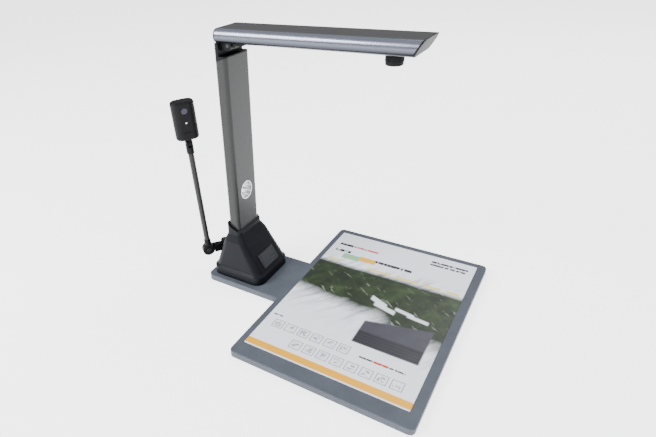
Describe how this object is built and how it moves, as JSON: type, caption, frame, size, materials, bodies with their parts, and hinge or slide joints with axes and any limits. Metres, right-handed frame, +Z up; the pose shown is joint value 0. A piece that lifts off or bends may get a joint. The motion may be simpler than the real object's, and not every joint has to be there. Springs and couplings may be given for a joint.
{
  "type": "book scanner",
  "caption": "Desktop book scanner: flat document board, folding camera arm on a column and a small side camera on a swinging stalk.",
  "frame": {"origin": "middle of the whole object's footprint, on the surface it stands on", "axes": "+Z up; +X from the column along the arm over the document board; +Y to the back, where the inlet is"},
  "size_m": [0.3882, 0.329, 0.3525],
  "materials": {
    "deck": "satin textured blue-grey moulding",
    "tray": "matt dark grey",
    "rubber": "matt",
    "steel": "bare",
    "mat": "printed laminated sheet",
    "foot": "satin near-black",
    "frame": "black painted",
    "plate": "bare label plate",
    "circuit": "green circuit board",
    "black_plastic": "satin black",
    "column": "dark anodised, polished",
    "pocket": "bright turned",
    "screw": "blackened",
    "arm": "grey anodised, polished",
    "lens": "coated glass",
    "sensor": "package",
    "window": "translucent white",
    "stalk": "black painted",
    "head": "satin black"
  },
  "bodies": {
    "base": {"base_deck": "deck", "base_tray": "tray", "rubber_feet": "rubber", "steel_weight": "steel", "document_mat": "mat", "foot_housing": "foot", "foot_chassis": "frame", "name_plate": "plate", "main_board": "circuit", "board_posts": "frame", "usb_inlet": "steel", "usb_tongue": "black_plastic", "column_extrusion": "column", "lens_pocket": "pocket", "column_head": "black_plastic", "hinge_pin": "steel", "hinge_washers": "black_plastic", "swing_pin": "steel", "tray_screws": "screw", "foot_screws": "screw", "column_screws": "screw", "head_screws": "screw"},
    "arm": {"arm_bracket": "black_plastic", "arm_extrusion": "arm", "arm_root_cap": "black_plastic", "arm_tip_cap": "black_plastic", "lens_barrel": "black_plastic", "lens_glass": "lens", "camera_board": "circuit", "image_sensor": "sensor", "light_windows": "window", "light_boards": "circuit", "bracket_screws": "screw"},
    "link": {"side_link": "black_plastic", "knuckle_pin": "stalk"},
    "stalk": {"stalk_hub": "black_plastic", "stalk_tube": "stalk", "stalk_neck": "black_plastic", "neck_pin": "steel"},
    "head": {"head_front": "head", "head_rear": "head", "head_tongue": "black_plastic", "head_lens_ring": "head", "head_lens_glass": "lens", "head_lamp": "window", "head_board": "circuit"}
  },
  "joints": [
    {"name": "arm_fold", "type": "hinge", "parent": "base", "child": "arm", "pos_m": [-0.10749, 0, 0.3332], "axis": [0, 1, 0], "range_deg": [0, 90]},
    {"name": "link_swing", "type": "hinge", "parent": "base", "child": "link", "pos_m": [-0.15479, 0, 0.0347], "axis": [0, 0, 1], "range_deg": [-118, 14]},
    {"name": "stalk_tilt", "type": "hinge", "parent": "link", "child": "stalk", "pos_m": [-0.1716, -0.02151, 0.0347], "axis": [-0.788, 0.6157, 0], "range_deg": [-80, 3]},
    {"name": "head_tilt", "type": "hinge", "parent": "stalk", "child": "head", "pos_m": [-0.17554, -0.03069, 0.20743], "axis": [0.6147, 0.7868, 0.0558], "range_deg": [-30, 40]}
  ]
}
